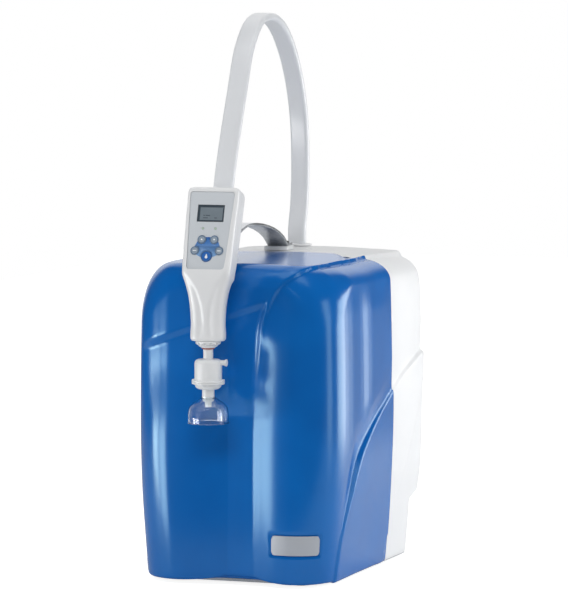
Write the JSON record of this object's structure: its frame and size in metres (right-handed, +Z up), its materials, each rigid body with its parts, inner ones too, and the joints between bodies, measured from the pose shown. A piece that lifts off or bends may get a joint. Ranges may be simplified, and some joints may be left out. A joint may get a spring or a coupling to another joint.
{
  "type": "ultrapure water system",
  "caption": "Bench-top ultrapure water unit: blue cover, white rear housing, and a keypad handset with final filter and filling bell hung on a chrome arm under an arched flat hose.",
  "frame": {"origin": "on the bench under the middle of the whole object's outline", "axes": "+X to the right as seen from the front, -Y to the front where the handset hangs, +Z up"},
  "size_m": [0.3104, 0.4999, 0.7904],
  "materials": {
    "blue_cover": "satin metallic blue",
    "white_housing": "satin white",
    "white_plate": "gloss white",
    "white_handset": "satin white",
    "grey_keypad": "fine matt grey",
    "display_window": "clear window",
    "display": "dark display",
    "light_guide": "pale green light pipe",
    "grey_key": "matt grey-blue",
    "blue_key": "matt blue",
    "circuit_board": "green board",
    "red_seal": "matt red",
    "clear_bell": "clear moulded plastic",
    "hose": "translucent white",
    "chrome_arm": "polished",
    "steel_sheet": "brushed",
    "black_rubber": "matt black",
    "black_plastic": "matt black",
    "blue_fitting": "satin dark blue",
    "panel_grey": "light grey",
    "cartridge_white": "satin white",
    "cap_blue": "satin blue",
    "grey_plastic": "matt grey",
    "tube": "translucent tube",
    "membrane": "white membrane",
    "white_fitting": "satin white"
  },
  "bodies": {
    "cabinet": {"badge_plate": "white_plate", "base_tray": "steel_sheet", "bulkhead": "steel_sheet", "cartridge_cap_left": "cap_blue", "cartridge_cap_right": "cap_blue", "cartridge_clip": "grey_plastic", "cartridge_left": "cartridge_white", "cartridge_link_tube": "tube", "cartridge_right": "cartridge_white", "conductivity_cell": "steel_sheet", "connection_panel": "panel_grey", "dispenser_hose": "hose", "drain_fitting": "blue_fitting", "feed_fitting": "blue_fitting", "foot_front_left": "black_rubber", "foot_front_right": "black_rubber", "foot_rear_left": "black_rubber", "foot_rear_right": "black_rubber", "front_cover": "blue_cover", "holder_arm": "chrome_arm", "holder_base": "white_fitting", "hose_collar": "white_fitting", "lamp_housing": "steel_sheet", "main_board": "circuit_board", "overflow_fitting": "blue_fitting", "power_inlet": "black_plastic", "power_supply": "steel_sheet", "pump_head": "black_plastic", "pump_motor": "steel_sheet", "rear_housing": "white_housing", "solenoid_valve": "black_plastic", "switch_frame": "black_plastic", "ultrafilter": "cartridge_white", "valve_manifold": "white_fitting"},
    "handset": {"handset_front_shell": "white_handset", "handset_rear_shell": "white_handset", "handset_hook": "white_handset", "hose_socket": "white_handset", "keypad_panel": "grey_keypad", "display_window": "display_window", "display_module": "display", "status_light_guide": "light_guide", "handset_board": "circuit_board", "dispense_valve": "black_plastic", "handle_end_plug": "grey_plastic", "outlet_cone": "white_fitting", "seal_ring": "red_seal"},
    "outlet_nut": {"union_nut": "white_fitting"},
    "final_filter": {"filter_upper_shell": "white_fitting", "filter_lower_shell": "white_fitting", "filter_membrane": "membrane", "filling_bell": "clear_bell", "outlet_nozzle": "white_fitting"},
    "power_switch": {"power_rocker": "black_plastic"},
    "key_upper_left": {"key_upper_left": "grey_key"},
    "key_upper_right": {"key_upper_right": "grey_key"},
    "key_lower_left": {"key_lower_left": "grey_key"},
    "key_lower_right": {"key_lower_right": "grey_key"},
    "dispense_key": {"dispense_key": "blue_key"}
  },
  "joints": [
    {"name": "handset_lift", "type": "slide", "parent": "cabinet", "child": "handset", "axis": [0, 0, 1], "range_m": [0, 0.04], "deforming": ["dispenser_hose"]},
    {"name": "outlet_nut_turn", "type": "hinge", "parent": "handset", "child": "outlet_nut", "pos_m": [-0.0132, -0.2215, 0.348], "axis": [0, 0, 1], "continuous": true},
    {"name": "final_filter_turn", "type": "hinge", "parent": "handset", "child": "final_filter", "pos_m": [-0.0132, -0.2215, 0.348], "axis": [0, 0, 1], "continuous": true},
    {"name": "power_switch_rock", "type": "hinge", "parent": "cabinet", "child": "power_switch", "pos_m": [0.07398, 0.215, 0.047], "axis": [-1, 0, 0], "range_deg": [0, 12]},
    {"name": "key_upper_left_press", "type": "slide", "parent": "handset", "child": "key_upper_left", "axis": [-0.0574, 0.9379, -0.342], "range_m": [0, 0.0008], "stiffness_N_per_m": 600, "springref_m": -0.0008},
    {"name": "key_upper_right_press", "type": "slide", "parent": "handset", "child": "key_upper_right", "axis": [-0.0574, 0.9379, -0.342], "range_m": [0, 0.0008], "stiffness_N_per_m": 600, "springref_m": -0.0008},
    {"name": "key_lower_left_press", "type": "slide", "parent": "handset", "child": "key_lower_left", "axis": [-0.0574, 0.9379, -0.342], "range_m": [0, 0.0008], "stiffness_N_per_m": 600, "springref_m": -0.0008},
    {"name": "key_lower_right_press", "type": "slide", "parent": "handset", "child": "key_lower_right", "axis": [-0.0574, 0.9379, -0.342], "range_m": [0, 0.0008], "stiffness_N_per_m": 600, "springref_m": -0.0008},
    {"name": "dispense_key_press", "type": "slide", "parent": "handset", "child": "dispense_key", "axis": [-0.0574, 0.9379, -0.342], "range_m": [0, 0.0008], "stiffness_N_per_m": 600, "springref_m": -0.0008}
  ]
}
